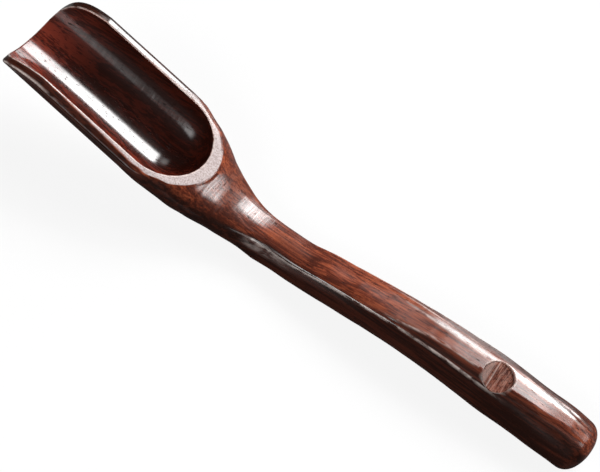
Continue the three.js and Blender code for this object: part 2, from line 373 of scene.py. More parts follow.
lower_share = curve_through(
    (66.39, 1), (80, 0.62), (95.92, 0.42), (143.44, 0.45), (GRIP_ROUND, 0.75), (END_AT, 0.8),
)
crown = curve_through((66.39, 0), (NECK_AT, 0.5), (GRIP_MIDDLE, 0.5), (GRIP_ROUND, 0.2))
hollow_depth = curve_through((0, LIP_DEPTH), (27.55, HOLLOW_DEPTH))
print("neck %.1f mm wide, grip %.1f mm" % (2 * half_width(NECK_AT), 2 * half_width(END_AT)))

# %% [markdown]
# ## One cross-section
#
# Half a section runs from the keel round the lower corner, up the side, over the ridge and along
# the top. Along the handle the knife has left facets: a flat band along the top, a narrow strip
# beside it and a chamfer on each side. Their edges wander as they do on the real handle.

# %% Facets
flat_near = curve_through(
    (116, 4.0), (121.3, 3.4), (125.8, 2.7), (130, 2.5), (140, 2.5), (150, 2.65), (156, 2.6),
    (163, 1.7),
)
strip_in = curve_through((112, 2.6), (120, 2.0), (130, 1.5), (150, 1.3), (163, 1.4))
strip_out = curve_through((112, 4.4), (120, 3.9), (128.4, 3.5), (147.5, 3.4), (163, 3.0))
facets = curve_through((106, 0), (124, 1), (161, 1), (170, 0.25))
facet_drop = curve_through(
    (NECK_AT, 0.5), (124, 0.75), (150, 0.85), (GRIP_ROUND, 0.7), (END_AT, 0.3),
)
STRIP_SLOPE = 0.15  # of the narrow strip along the far side of the flat
flat_lean = curve_through((116, 0.03), (138, 0.02), (148, -0.02), (160, -0.02))
CREASE = 0.17  # softness of a facet's edge, millimetres


def bend(u, edge):
    """0 before the edge, then rising one for one, with a soft corner."""
    return (np.hypot(u - edge, CREASE) + u - edge - np.hypot(edge, CREASE) + edge) / 2


def facet_height(x, u, flat, side):
    """Height of the facets u millimetres aside from the middle of a top that is flat wide."""
    drop = facet_drop(x)
    if side < 0:
        edge = min(flat_near(x), flat * 0.9)
        return drop - bend(u, edge) * drop / bend(flat, edge)
    first, second = min(strip_in(x), flat * 0.5), min(strip_out(x), flat * 0.9)
    slope = min(STRIP_SLOPE, 0.9 * drop / bend(flat, first))
    rest = drop - slope * bend(flat, first)
    return drop - slope * bend(u, first) - rest * bend(u, second) / bend(flat, second)


# %% Half a section
LOWER, SIDE, UPPER, TOP = 80, 24, 44, 90  # steps round the corners, up the side, along the top
TUCK = 0.14  # the lower corner reaches in by this share more than it is high
NEAR_RISE, NEAR_REACH = 1.8, 0.4  # how much near_round adds to the near side's upper corner
RIDGE = LOWER + SIDE - 1 + UPPER // 2  # the ridge is the middle of the upper corner


def half_section(x, side, scale=1.0):
    """Heights and half widths of a section, with the distance of each from the keel."""
    half = half_width(x) * scale
    top, keel = top_line(x), keel_line(x)
    middle = (top + keel) / 2
    rise, reach, share = upper_rise(x), upper_reach(x) * half, lower_share(x)
    if side < 0:
        rise += NEAR_RISE * near_round(x)
        reach *= 1 + NEAR_REACH * near_round(x)
    low = (top - rise - keel) * share
    tuck = min(share + TUCK, 1.0) * half
    a = np.linspace(0, math.pi / 2, LOWER)
    y = [half - tuck + tuck * np.sin(a)]
    z = [keel + low - low * np.cos(a)]
    t = steps(SIDE)[:-1]
    y.append(np.full(t.size, half))
    z.append(keel + low + (top - rise - keel - low) * t)
    a = np.linspace(0, math.pi / 2, UPPER)
    y.append(half - reach + reach * np.cos(a))
    z.append(top - rise + rise * np.sin(a))
    flat = half - reach
    t = steps(TOP, 1, 0)
    cut, round_top = facets(x), 1 - t * t
    bulge = crown(x) * round_top
    if cut > 0:
        facet = facet_height(x, t * flat, flat, side) + side * flat_lean(x) * t * flat * round_top
        bulge = bulge * (1 - cut) + cut * facet
    y.append(flat * t)
    z.append(top + bulge)
    y, z = np.concatenate(y), np.concatenate(z)
    z = middle + (z - middle) * scale
    run = join([0], np.cumsum(np.hypot(np.diff(y), np.diff(z))))
    return y, z, run


def skin_row(x, c, side, scale=1.0):
    """Points of the outside at distances c from the keel, side is -1 for the near one."""
    y, z, run = half_section(x, side, scale)
    return xyz(x, side * np.interp(c, run, y), np.interp(c, run, z))


def both_sides(x, u, near_c, far_c, scale=1.0):
    """A row over both sides, the near one where u is below 0."""
    near, far = skin_row(x, near_c, -1, scale), skin_row(x, far_c, 1, scale)
    return np.where((u < 0)[:, None], near, far)


def skin(xs, gs):
    """Points g millimetres round from the top's middle line; near side is g < 0."""
    made = []
    for x, g in zip(xs, gs):
        side = -1 if g < 0 else 1
        made.append(skin_row(x, half_section(x, side)[2][-1] - abs(g), side))
    return np.array(made)


print("section at the neck: %.1f mm round" % (half_section(NECK_AT, 1)[2][-1] * 2))

# %% [markdown]
# ## The mesh, patch by patch
#
# A boolean cut would leave ragged triangles along the rim, just where the polish shows every
# fault. So the skin is laid out in rows and columns of quads that follow the form: the hollow,
# the rim band round it, the belly, the neck behind the rim, the handle and its nose. Neighbouring
# patches share their border points, and the edges get a real rounding of their own.

# %% A small mesh bench
points, quads = [], []


def place(grid):
    """Adds points and returns their numbers in the same layout."""
    grid = np.asarray(grid, float)
    start = sum(len(p) for p in points)
    points.append(grid.reshape(-1, 3))
    return np.arange(start, start + len(points[-1])).reshape(grid.shape[:-1])


def points_at(ids):
    return np.concatenate(points)[ids]


def sheet(ids):
    """Quads over a grid of point numbers; where points coincide, triangles."""
    ids = np.asarray(ids)
    corners = np.stack([ids[:-1, :-1], ids[:-1, 1:], ids[1:, 1:], ids[1:, :-1]], -1).reshape(-1, 4)
    for quad in corners.tolist():
        face = list(dict.fromkeys(quad))
        if len(face) > 2:
            quads.append(face)


# %% [markdown]
# ## The hollow
#
# The hollow is a half oval channel that ends in a quarter ball. Its rows run across it. In the
# ball they swing from upright to level, so the last row lies along the rounded edge of the rim.

# %% Rows of the hollow
COLUMNS = 72  # quads across the hollow and under the belly
SWEEP_ROWS, STRAIGHT_ROWS = 17, 37
ROUND_IN = 0.34  # rounding of the rim's inner edge
t = np.linspace(0, 1, SWEEP_ROWS)
sweep_x = 2 * t * (1 - t) * 0.05 * SWEEP_LENGTH + t * t * SWEEP_LENGTH
sweep_z = -SWEEP_DROP * (1 - t) ** 2 - 0.22 * SWEEP_DROP * 2 * t * (1 - t)
rim_x = join(sweep_x, steps(STRAIGHT_ROWS, SWEEP_LENGTH, HOLLOW_CENTRE))
rim_z = join(sweep_z, np.zeros(STRAIGHT_ROWS))
rows = len(rim_x)


def hollow_point(x, a):
    """The channel at bench x, a radians down from the near edge."""
    return xyz(x, -HOLLOW_HALF * np.cos(a), -hollow_depth(x) * np.sin(a))


edge_a = np.arcsin(np.clip(-rim_z / hollow_depth(rim_x), 0, 1))
inner_edge = hollow_point(rim_x, edge_a)
step = 1e-3
down = (hollow_point(rim_x, edge_a + step) - inner_edge) / step
speed = np.linalg.norm(down, axis=1)
down /= speed[:, None]
along = unit(np.gradient(inner_edge, axis=0))
into = unit(down - along * (down * along).sum(1)[:, None])
start_x = rim_x + ROUND_IN * into[:, 0]
start_a = edge_a + ROUND_IN * (into * down).sum(1) / speed
start_x[-1] = HOLLOW_CENTRE
share = np.linspace(0, 1, COLUMNS + 1)
angles = start_a[:, None] + (math.pi - 2 * start_a[:, None]) * share
channel = hollow_point(start_x[:, None], angles)
channel_ids = place(channel)
sheet(channel_ids)

# %% The round back of the hollow
BALL_ROWS, FULLNESS = 26, 2.25  # a fullness of 2 would be a true ball
dip = start_a[-1]
phi = -math.pi / 2 + math.pi * share
first = np.array([0 * phi, -np.cos(angles[-1]), -np.sin(angles[-1])])
last = np.array([np.cos(phi) * math.cos(dip), np.sin(phi) * math.cos(dip), 0 * phi - math.sin(dip)])
apart = np.arccos(np.clip((first * last).sum(0), -1, 1))  # angle from the first row to the last
ball_rows = [channel_ids[-1]]
for s in steps(BALL_ROWS):
    turned = first * np.sin((1 - s) * apart) + last * np.sin(s * apart)
    ray = turned / np.maximum(np.sin(apart), 1e-9)
    full = (ray[0] ** FULLNESS + np.hypot(ray[1], ray[2]) ** FULLNESS) ** (-1 / FULLNESS)
    ray *= 1 + (full - 1) * np.abs(ray[2])
    row = xyz(HOLLOW_CENTRE + HOLLOW_HALF * ray[0], HOLLOW_HALF * ray[1], HOLLOW_DEPTH * ray[2])
    ids = channel_ids[-1].copy()
    ids[1:-1] = place(row[1:-1])
    ball_rows.append(ids)
sheet(ball_rows)
print("hollow:", len(quads), "faces")

# %% [markdown]
# ## The rim band
#
# The band is the flat left between the hollow and the outside. Along the sides it is narrow,
# behind the hollow it widens to where the neck begins, and at the mouth it sweeps down and turns
# into the thin edge of the lip. Each spoke of the band goes: rounding, flat, rounding.

# %% Outer edge of the band
ROUND_OUT, ROUND_BACK = 0.62, 0.30  # roundings of the band's outer edge
SEAM = 8  # the neck patch starts at this column of the round back end
TRACE_STEPS = 500  # places where the back of the rim is followed, closer towards its end
s = np.linspace(0, 1, TRACE_STEPS)
trace_x = RIM_END - (RIM_END - HOLLOW_CENTRE) * (1 - s) ** 2.2


def at_height(x, height, side):
    """Half width of the skin at this height, and how far round it is from the top's middle."""
    y, z, run = half_section(x, side)
    return np.interp(height, z, y), run[-1] - np.interp(height, z, run)


trace = np.array([at_height(x, 0, 1) for x in trace_x])
trace[-1] = 0
trace_phi = np.arctan2(trace[:, 0], trace_x - HOLLOW_CENTRE)
back_x = np.interp(-np.abs(phi), -trace_phi, trace_x)
back_g = np.interp(-np.abs(phi), -trace_phi, trace[:, 1]) * np.sign(phi)
side_g = np.array([-at_height(x, z, -1)[1] for x, z in zip(rim_x, rim_z)])

outer_x = join(rim_x, back_x[1:-1], rim_x[::-1])
outer_g = join(side_g, back_g[1:-1], -side_g[::-1])
outer_edge = skin(outer_x, outer_g)
inner_loop = join(
    inner_edge,
    xyz(HOLLOW_CENTRE + HOLLOW_HALF * np.cos(phi), HOLLOW_HALF * np.sin(phi), 0)[1:-1],
    inner_edge[::-1] * [1, -1, 1],
)
going = unit(np.stack([np.gradient(outer_x), np.gradient(outer_g)], 1))
away = np.stack([going[:, 1], -going[:, 0]], 1)
round_out = np.interp(outer_x, [44, 49], [ROUND_OUT, ROUND_BACK])
foot_x = outer_x + away[:, 0] * round_out
foot_g = outer_g + away[:, 1] * round_out

# %% Lip: the outer edge under the mouth
y, z, run = half_section(0.0, 1)
lip_c = run[-1] - abs(side_g[0])
lip_share = 1 - 2 * share  # +1 at the near end, -1 at the far end


def lip_line(c, inset=0.0):
    """The outside under the mouth, as far as c from the keel to either side."""
    c = np.abs(lip_share) * c
    return xyz(inset, -np.sign(lip_share) * np.interp(c, run, y), np.interp(c, run, z))


lip_inner = hollow_point(0.0, edge_a[0] + (math.pi - 2 * edge_a[0]) * share)
lip_outer = lip_line(lip_c)
lip_foot = lip_line(lip_c - round_out[0] * 0.35, min(round_out[0], 0.5))


# %% Spokes of the band
def rounded(first, corner, last, t):
    """A place on the curve that rounds a corner."""
    return first * (1 - t) ** 2 + corner * 2 * t * (1 - t) + last * t * t


def spokes(start, inner, outer, foot, round_away, roll, power=2.0, flats=8, curve=4):
    """Rows of points from the hollow over the band to the outside, both corners rounded."""
    across = outer - inner
    width = np.linalg.norm(across, axis=1)[:, None]
    across = across / width
    round_away = np.minimum(np.reshape(round_away, (-1, 1)), width * 0.4)
    round_in = np.minimum(ROUND_IN, width * 0.3)
    power = np.reshape(power, (-1, 1))
    sink = np.reshape(roll, (-1, 1)) * [0.0, 0.0, -1.0]
    a = inner + across * round_in
    b = outer - across * round_away + sink * (1 - round_away / width) ** power
    outer = outer + sink
    rounding = steps(curve)
    made = [rounded(start, inner, a, t) for t in rounding]
    for t in steps(flats):
        at = a + (outer - sink - across * round_away - a) * t
        share_across = (round_in + (width - round_in - round_away) * t) / width
        made.append(at + sink * share_across ** power)
    made += [rounded(b, outer, foot, t) for t in rounding[:-1]]
    return np.array(made)


# %% Band and lip
start_ids = join(channel_ids[:, 0], ball_rows[-1][1:-1], channel_ids[::-1, -1])
foot_loop = skin(foot_x, foot_g)

ROLL_NEAR, ROLL_FAR, ROLL_BACK = 0.85, 0.7, 0.06  # how far the band falls away outwards
to_back = np.interp(outer_x, [40, 50], [0, 1])
from_mouth = np.interp(outer_x, [2, 12], [0, 1])
near_side = np.arange(len(outer_x)) < len(outer_x) // 2
roll = np.where(near_side, ROLL_NEAR, ROLL_FAR) * from_mouth * (1 - to_back)
roll += ROLL_BACK * to_back
foot_loop[:, 2] -= 0.8 * roll * (1 - to_back)
roll_power = np.where(near_side, 2.0, 4.0)
band = spokes(points_at(start_ids), inner_loop, outer_edge, foot_loop, round_out, roll, roll_power)
lip = spokes(channel[0], lip_inner, lip_outer, lip_foot,
             np.full(COLUMNS + 1, round_out[0]), np.zeros(COLUMNS + 1))
band_ids = place(band)
foot_ids = place(foot_loop)
lip_ids = np.empty(lip.shape[:2], int)
lip_ids[:, 0], lip_ids[:, -1] = band_ids[:, 0], band_ids[:, -1]
lip_ids[:, 1:-1] = place(lip[:, 1:-1])
lip_foot_ids = join(foot_ids[:1], place(lip_foot[1:-1]), foot_ids[-1:])
sheet(np.vstack([start_ids, band_ids, foot_ids]))
sheet(np.vstack([channel_ids[0], lip_ids, lip_foot_ids]))
print("with the band:", len(quads), "faces")

# %% [markdown]
# ## The neck behind the rim
#
# This patch starts along the curved back edge of the band and ends as a plain cross-section where
# the handle begins. Between the two, each point's place along and round the skin is blended, so
# the quads flow from the curve into the straight without a seam.


# %% Neck patch
def crowd(u, amount):
    """Spreads shares of 0 to 1 closer together at both ends."""
    return u - amount * np.sin(2 * math.pi * u) / (2 * math.pi)


NECK_END, NECK_ROWS = 76.0, 36
STEP_DOWN, STEP_START, STEP_REACH = 0.22, 0.35, 3.0  # the small step behind the band
crowding = curve_through((60, 0), (84, 0.72))
around_back = slice(rows - 1 + SEAM, rows + COLUMNS - SEAM)
first_x, first_g = foot_x[around_back], foot_g[around_back]
c = np.linspace(0, 1, len(first_x))
run = half_section(NECK_END, 1)[2]
last_g = (run[-1] - run[RIDGE]) * (2 * crowd(c, crowding(NECK_END)) - 1)
r = np.linspace(0, 1, NECK_ROWS + 1)
seam_x = first_x[0] + (NECK_END - first_x[0]) * r
ease = r * r * (3 - 2 * r)
seam_g = first_g[0] * (1 - ease) + last_g[0] * ease - 1.2 * np.sin(math.pi * r) ** 2 * (1 - r)
R, C = r[:, None], c[None, :]
grid_x = (1 - R) * (first_x - first_x[0]) + seam_x[:, None]
grid_g = ((1 - R) * first_g + R * last_g + (1 - 2 * C) * seam_g[:, None]
          - (1 - R) * ((1 - C) * first_g[0] + C * first_g[-1])
          - R * ((1 - C) * last_g[0] + C * last_g[-1]))
neck = np.array([skin(xs, gs) for xs, gs in zip(grid_x, grid_g)])
clear = np.cumsum(np.linalg.norm(np.diff(neck, axis=0, prepend=neck[:1]), axis=2), axis=0)
upward = np.clip(1 - np.abs(grid_g) / 11.0, 0, 1)
step_down = STEP_DOWN * np.clip(clear / STEP_START, 0, 1) * np.exp(-clear / STEP_REACH)
neck[..., 2] -= upward * step_down
neck_ids = np.vstack([foot_ids[around_back], place(neck[1:])])
sheet(neck_ids)
print("with the neck:", len(quads), "faces")

# %% Belly patch, from one rim or ridge under the keel to the other
to_seam = slice(rows + SEAM)
near_ids = join(foot_ids[to_seam], neck_ids[1:, 0])
far_ids = join(foot_ids[::-1][to_seam], neck_ids[1:, -1])
belly_x = join(foot_x[to_seam], grid_x[1:, 0])
belly_g = join(foot_g[to_seam], grid_g[1:, 0])
belly = [lip_foot_ids]
for x, g, a, b in zip(belly_x[1:], belly_g[1:], near_ids[1:], far_ids[1:]):
    run = half_section(x, 1)[2]
    c0 = run[-1] - abs(g)
    c = c0 * (2 * crowd(share, 0.6 * crowding(x)) - 1)
    belly.append(join([a], place(both_sides(x, c, -c, c)[1:-1]), [b]))
sheet(belly)
print("with the belly:", len(quads), "faces")

# %% Handle rings
NOSE_START, NOSE_RINGS, NOSE_POWER = END_AT - NOSE, 14, 2.3
KNOT_FROM, KNOT_TO = 138.0, 149.2  # finer rings lie here, round the pocket
handle_x = join(
    steps(89, NECK_END, KNOT_FROM), steps(24, KNOT_FROM, KNOT_TO), steps(27, KNOT_TO, NOSE_START),
)
top_columns = neck_ids.shape[1]
top_share = np.linspace(0, 1, top_columns)


def ring_rows(x, scale=1.0):
    """Belly and top points of one ring, both from the near ridge to the far one."""
    near, far = (half_section(x, side, scale)[2] for side in (-1, 1))
    u = crowd(share, 0.6 * crowding(x)) * 2 - 1
    under = both_sides(x, u, -u * near[RIDGE], u * far[RIDGE], scale)
    u = crowd(top_share, crowding(x)) * 2 - 1
    near_c, far_c = (run[-1] - np.abs(u) * (run[-1] - run[RIDGE]) for run in (near, far))
    return under, both_sides(x, u, near_c, far_c, scale)


rings = [(x, 1.0) for x in handle_x]
for i in range(1, NOSE_RINGS + 1):
    u = math.sin(i / NOSE_RINGS * 1.54)
    rings.append((NOSE_START + NOSE * u, (1 - u ** NOSE_POWER) ** (1 / NOSE_POWER)))
under_rows, over_rows = [belly[-1]], [neck_ids[-1]]
for x, scale in rings:
    under, over = ring_rows(x, scale)
    under_ids = place(under)
    under_rows.append(under_ids)
    over_rows.append(join(under_ids[:1], place(over[1:-1]), under_ids[-1:]))
tip = place(points_at(join(under_rows[-1], over_rows[-1])).mean(0)[None])
under_rows.append(np.full(COLUMNS + 1, tip[0]))
over_rows.append(np.full(top_columns, tip[0]))
sheet(under_rows)
over_rows = np.array(over_rows)
print("handle:", len(rings), "rings")

# %% [markdown]
# ## The pocket for the inlay
#
# The pocket is an oval in the middle of the top. The quads over it are left out, and rings of
# points lead from the edge of that window to the oval, over a small rounding and down the wall.

# %% Where the inlay sits
KNOT_AT, KNOT_ASIDE, KNOT_LONG, KNOT_WIDE = 143.6, -1.2, 4.0, 4.35  # place and half sizes
rise = top_line(KNOT_AT + KNOT_LONG) - top_line(KNOT_AT - KNOT_LONG)
LEAN = math.atan2(rise, 2 * KNOT_LONG)
KNOT_ORIGIN = np.array([KNOT_AT, KNOT_ASIDE, top_line(KNOT_AT) + crown(KNOT_AT)])
KNOT_X = np.array([math.cos(LEAN), 0, math.sin(LEAN)])
KNOT_Z = np.array([-math.sin(LEAN), 0, math.cos(LEAN)])


def knot_point(px, py, pz):
    return KNOT_ORIGIN + px * KNOT_X + py * ACROSS + pz * KNOT_Z


def oval(a, grow=0.0):
    """A place on the inlay's outline, or outside it."""
    return (KNOT_LONG + grow) * math.cos(a), (KNOT_WIDE + grow) * math.sin(a)


def height_over(x, y):
    """The skin's height at bench x and y."""
    ys, zs, _ = half_section(x, -1 if y < 0 else 1)
    top = slice(LOWER + SIDE - 2, None)
    return np.interp(-abs(y), -ys[top], zs[top])


def on_skin(px, py):
    """The point of the skin over this place of the inlay's plane."""
    p = knot_point(px, py, 0.0)
    for _ in range(5):
        p = p + (height_over(p[0], p[1]) - p[2]) / KNOT_Z[2] * KNOT_Z
    return p


# %% Pocket
POCKET_DEPTH = 3.2
WINDOW = 5.3  # the quads this far before and behind the middle are left out
RIM_GROW = 0.22  # the pocket's rounded rim reaches this far past the inlay
ring_x = join([NECK_END], handle_x)
r0, r1 = np.searchsorted(ring_x, [KNOT_AT - WINDOW, KNOT_AT + WINDOW])
c0, c1 = 2, top_columns - 13
sheet(over_rows[:r0 + 1])
sheet(over_rows[r1:])
sheet(over_rows[r0:r1 + 1, :c0 + 1])
sheet(over_rows[r0:r1 + 1, c1:])
window = join(over_rows[r0, c0:c1], over_rows[r0:r1, c1],
              over_rows[r1, c1:c0:-1], over_rows[r1:r0:-1, c0])
local = points_at(window) - KNOT_ORIGIN
wx, wy = local @ KNOT_X, local[:, 1]
theta = np.arctan2(wy / KNOT_WIDE, wx / KNOT_LONG)
loops = [window]
for s in steps(6):
    ring = []
    for px, py, a in zip(wx, wy, theta):
        ox, oy = oval(a, RIM_GROW)
        ring.append(on_skin(px + (ox - px) * s, py + (oy - py) * s))
    loops.append(place(ring))
rim_heights = (np.array(ring) - KNOT_ORIGIN) @ KNOT_Z
# Over the rounded rim and down the wall: millimetres inwards from the rim and down.
for inward, sink in ((0.10, 0.02), (0.17, 0.08), (0.21, 0.17),
                     (RIM_GROW, 0.3), (RIM_GROW, 1.2), (RIM_GROW, 2.2)):
    loops.append(place([
        knot_point(*oval(a, RIM_GROW - inward), high - sink) for high, a in zip(rim_heights, theta)
    ]))
loops.append(place([knot_point(*oval(a), -POCKET_DEPTH) for a in theta]))
bottom = place([knot_point(0, 0, -POCKET_DEPTH)])
loops.append(np.full(len(window), bottom[0]))
loops = np.array(loops)
sheet(np.hstack([loops, loops[:, :1]]))
print("whole skin:", len(quads), "faces")


# %% Make the body
def mesh_object(name, bench_points, faces):
    mesh = bpy.data.meshes.new(name)
    mesh.from_pydata(table(bench_points).tolist(), [], faces)
    bm = bmesh.new()
    bm.from_mesh(mesh)
    bmesh.ops.recalc_face_normals(bm, faces=bm.faces)
    print(name, "open or tangled edges:", sum(1 for e in bm.edges if not e.is_manifold))
    print(name, "volume %.0f mm3" % (bm.calc_volume() * 1e9))
    bm.to_mesh(mesh)
    bm.free()
    mesh.polygons.foreach_set("use_smooth", [True] * len(mesh.polygons))
    return new_object(name, mesh)


body_points = np.concatenate(points)
body = mesh_object("carved_body", body_points, quads)
normals = np.empty(len(body_points) * 3)
body.data.vertices.foreach_get("normal", normals)
normals = normals.reshape(-1, 3)

# %% [markdown]
# ## Where the wood is polished, scraped or worn, and where light is painted
#
# The finish changes over one continuous surface: glossy and much darker in the hollow, scraped matt
# on the back of the rim, cross scratched on the neck, duller down the sides. Light and shade are
# painted on it too: red where the hollow's near wall faces the key, shade on the sides that face
# down and to the front, and pale highlights along the ridges, creases and edges, partly wear.
# Painting these as soft masks on the points lets one material cover them without a seam, and the
# masks stay on the wood from every side. Limits along the scoop are in bench millimetres.


# %% Tools for the masks
def smooth(value, low, high):
    """0 below low, 1 above high, eased between."""
    t = np.clip((value - low) / (high - low), 0, 1)
    return t * t * (3 - 2 * t)


def between(value, start, full, fade, end):
    """Rises from start to full and falls from fade to end."""
    return smooth(value, start, full) * (1 - smooth(value, fade, end))


def hill(value, middle, width):
    return np.exp(-((value - middle) / width) ** 2)


total = len(body_points)
bx, by, bz = body_points.T
masks = {
    name: np.zeros(total)
    for name in ("hollow", "scraped", "dull", "worn_and_glint", "tooled", "red_glow", "heart_and_shade")
}


def at_least(name, value):
    masks[name] = np.maximum(masks[name], value)


def write_mask(piece, name, values):
    """Keeps a mask on a mesh, point by point."""
    attribute = piece.data.attributes.new(name, "FLOAT", "POINT")
    attribute.data.foreach_set("value", np.clip(values, 0, 1))


def paint(name, rows_of_ids, weights, share_of_them=1.0):
    """Sets a mask row by row."""
    for ids, weight in zip(rows_of_ids, weights):
        masks[name][ids] = weight * share_of_them


# %% Masks of the hollow
HOLLOW_MEAN = 10.6  # its depth, near enough, from the lip to the back
masks["hollow"][channel_ids] = 1
masks["hollow"][np.array(ball_rows)] = 1
for edge_ids in (band_ids, lip_ids):
    paint("hollow", edge_ids, (0.7, 0.35, 0.1))
inside = masks["hollow"]
around = np.degrees(np.arctan2(-bz / HOLLOW_MEAN, -by / HOLLOW_HALF))  # 0 near rim, 180 far rim

# Painted light: red where the near wall faces the key light, towards the lip and at the near back.
red_mouth = 0.8 * (1 - smooth(bx, 0, 20)) * (1 - smooth(around, 70, 150) * 0.6)
red_near = 1 - smooth(around, 50, 84)
red_back = smooth(bx, 46, 54) * smooth(-by, -2, 6) * 0.7
masks["red_glow"] = inside * np.clip(red_mouth + red_near + red_back, 0, 1)

GLINT_AT, GLINT_WIDE = 139, 6  # degrees round, where the far wall keeps a thin streak of shine
glint = hill(around, GLINT_AT, GLINT_WIDE) * (0.16 + 0.3 * smooth(bx, 42, 45))
at_least("dull", smooth(around, 104, 118) * inside * (1 - glint))
print("points in the hollow:", int((inside > 0.5).sum()))

# %% Masks of the band
# It is scraped all over at the back, and only along its inner edge towards the mouth.
flat_rows = band_ids[3:]
across_band = np.linspace(0, 1, len(flat_rows))[:, None]
outer_half = smooth(across_band, 0.55, 0.75)
reach_near = np.interp(outer_x, [8, 16, 24, 32, 40, 44, 48], [-0.1, 0, 0.12, 0.22, 0.34, 0.62, 1.2])
reach_far = np.interp(outer_x, [18, 30, 38, 45], [-0.1, 0.12, 0.2, 1.2])
scraped_to = np.where(near_side, reach_near, reach_far)
far_back = np.where(near_side, 0, between(outer_x, 36, 44, 50, 56))
far_outer = np.where(near_side, 0, between(outer_x, 38, 44, 55, 58)) * outer_half
scraped = 1 - smooth(across_band, scraped_to - 0.09, scraped_to + 0.09)
masks["scraped"][flat_rows] = scraped * (1 - 0.45 * far_back) * (1 - 0.9 * far_outer)
masks["scraped"][band_ids[2]] = 0.4 * to_back
masks["scraped"][lip_ids[3:12]] = 0.12

# Painted shade: the band's outer part is darkened, and on the far side all of the band but the
# back.
near_outer = smooth(across_band, reach_near, reach_near + 0.2)
outer_part = np.where(near_side, near_outer, smooth(across_band, 0.4, 0.6)) * (1 - to_back)
masks["heart_and_shade"][flat_rows] = np.where(near_side, outer_part, 1 - to_back)
outer_dull = outer_part * np.where(near_side, 0.9, 1.0)
masks["dull"][flat_rows] = np.maximum(outer_dull, far_outer)

# %% Dull sides
from_seam = np.minimum(np.arange(COLUMNS + 1), np.arange(COLUMNS + 1)[::-1])
masks["dull"][np.array(belly[1:])] = smooth(from_seam, -1, 3)
for row in under_rows[1:-1]:
    early = 5 * smooth(body_points[row[0], 0], 112, 125)
    masks["dull"][row] = smooth(from_seam, -early, 5 - 0.9 * early)
seam_share = np.abs(np.linspace(-1, 1, neck_ids.shape[1]))
sides = smooth(seam_share, 0.78, 1.08)[None, :]
masks["dull"][neck_ids] = np.maximum(masks["dull"][neck_ids], sides)
masks["dull"][foot_ids[to_seam]] = 0.9
masks["dull"][foot_ids[::-1][to_seam]] = 1.0

# %% Satin along the top
# It leaves out two shining patches on the neck and a strip along the grip.
outside = (inside < 0.05) & ~np.isin(np.arange(total), band_ids.ravel())
facing = normals @ np.stack([ALONG, ACROSS, ABOVE]).T  # along, across and above the bench
late = smooth(bx, 141, 147)  # behind the inlay the polish is better
shank = between(bx, 75.5, 79, 94, 108) * smooth(by, -4.6, -4.2)
saddle = between(bx, 68.3, 70.3, 73.5, 76.5) * (1 - smooth(np.abs(by - 0.6), 2.5, 3.6))
saddle += between(bx, 58, 60, 62.5, 64.5) * (1 - smooth(np.abs(by + 3.1), 2.4, 4.2))
strip = smooth(by, 1.5 - 0.3 * late, 2.0 - 0.4 * late)
strip *= 1 - smooth(by, 2.4 + 0.9 * late, 3.2 + 0.8 * late)
strip *= smooth(bx, 118, 130) * (0.7 + 0.3 * late)
satin = 0.45 + 0.44 * shank + 0.34 * smooth(bx, 123, 131) * (1 - late) + 0.16 * late
satin *= (1 - saddle) * (1 - strip)
gap = between(bx, 63, 65, 67.5, 69.5) + smooth(by, 3.2, 4.2) * smooth(bx, 64, 67)
bevels = smooth(-by, 2.4, 3.2)
bevels += smooth(by, 3.2, 4.0) * (0.75 * smooth(bx, 117, 122) + 0.15 * late)
for part in (
    0.85 * gap * (1 - smooth(bx, 77, 80)),
    late * (1 - strip) * (0.61 + 0.27 * smooth(bx, 155, 161)),
    smooth(bx, 112, 120) * bevels,
    0.85 * smooth(bx, 164.5, 169),
):
    satin = np.maximum(satin, part)
at_least("dull", outside * satin)

below = bz - top_line(bx)
under_ridge = between(bx, 73, 78, 96, 112) * smooth(below, -4.5, -2) * (by < -3)
under_ridge *= 1 - smooth(below, -2.0, -1.2) * (1 - smooth(bx, 82, 92))
masks["dull"] *= 0.965 * (1 - 0.9 * under_ridge)
front_of_grip = smooth(-facing[:, 1], 0.15, 0.4) * smooth(bx, 134, 142)
at_least("dull", outside * front_of_grip)

# %% Heartwood and painted shade
# It is darker where the surface faces down or to either side, on the near side behind the rim, in
# two patches on the neck and shank, and over the grip, most along its near and far sides: heartwood
# tone with painted shade.
underneath = smooth(-facing[:, 2], -0.1, 0.5)
on_grip = smooth(bx, 110, 124)
before_grip, grip = smooth(-facing[:, 1], 0.15, 0.7), 0.35 + 0.65 * smooth(-by, 1.8, 4.2)
for part in (
    0.7 * underneath,
    0.45 * smooth(facing[:, 1], 0.5, 0.95),
    0.55 * smooth(-by, 0.5, 5) * smooth(bx, 52, 60),
    0.4 * between(bx, 58, 63, 68, 72),
    0.4 * between(bx, 79, 83, 91, 96) * (1 - smooth(by, 0.5, 2)),
):
    before_grip = np.maximum(before_grip, part)
for part in (0.8 * underneath, 0.7 * smooth(by, 3, 4.5)):
    grip = np.maximum(grip, part)
dark = before_grip * (1 - on_grip) + on_grip * grip
masks["heart_and_shade"] = np.where(outside, dark, masks["heart_and_shade"])

# %% Worn edges and painted highlights
# Pale lines along the ridges and the facet creases: a painted highlight, with some wear.
RIDGE_WEAR_AND_GLINT = (0.75, 0.75, 0.6, 0.3, 0.1)  # on the top, column by column from the ridge
for row in over_rows[1:-1]:
    x, y = body_points[row[0], 0], body_points[row, 1]
    ridges = np.zeros(top_columns)
    ridges[:5] = ridges[::-1][:5] = RIDGE_WEAR_AND_GLINT
    ridges *= 1 - smooth(x, 136, 150)
    crease = 0.7 * hill(y, -flat_near(x), 0.3) * (x < 140)
    crease += 0.9 * hill(y, strip_in(x), 0.35) + 0.5 * hill(y, strip_out(x), 0.35)
    ridges = np.maximum(ridges, crease * facets(x) ** 2 * 0.8)
    masks["worn_and_glint"][row] = np.maximum(masks["worn_and_glint"][row], ridges)
